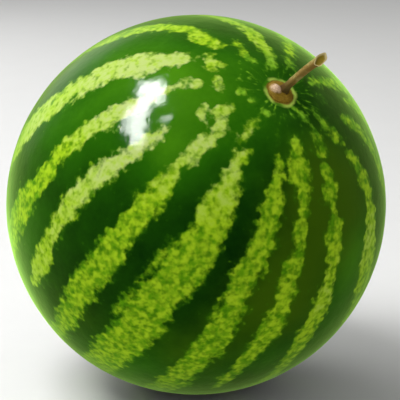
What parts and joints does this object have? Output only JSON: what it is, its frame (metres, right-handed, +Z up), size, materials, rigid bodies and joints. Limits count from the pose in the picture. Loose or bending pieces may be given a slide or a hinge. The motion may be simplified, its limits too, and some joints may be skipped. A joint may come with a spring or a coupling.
{
  "type": "watermelon",
  "caption": "Whole round striped watermelon with its cut stem, resting on a small flat spot, for food displays, kitchens and market scenes",
  "frame": {"origin": "The centre of the small flat spot that the fruit rests on, on the ground plane.", "axes": "+Z is up. The fruit's own axis, from its blossom end to its stem end, lies in the YZ plane and leans 45 degrees from upright, with the stem end up and towards -Y. +X is to the right when the stem end faces the viewer."},
  "size_m": [0.25, 0.2519, 0.249],
  "materials": {
    "rind": "smooth waxy rind, dark green with ragged light yellow-green stripes from stem to blossom end",
    "stem": "dry fibrous green-brown stem with a corky tan base and a pale cut tip"
  },
  "bodies": {
    "root": {"fruit": "rind", "stem": "stem"}
  },
  "joints": []
}
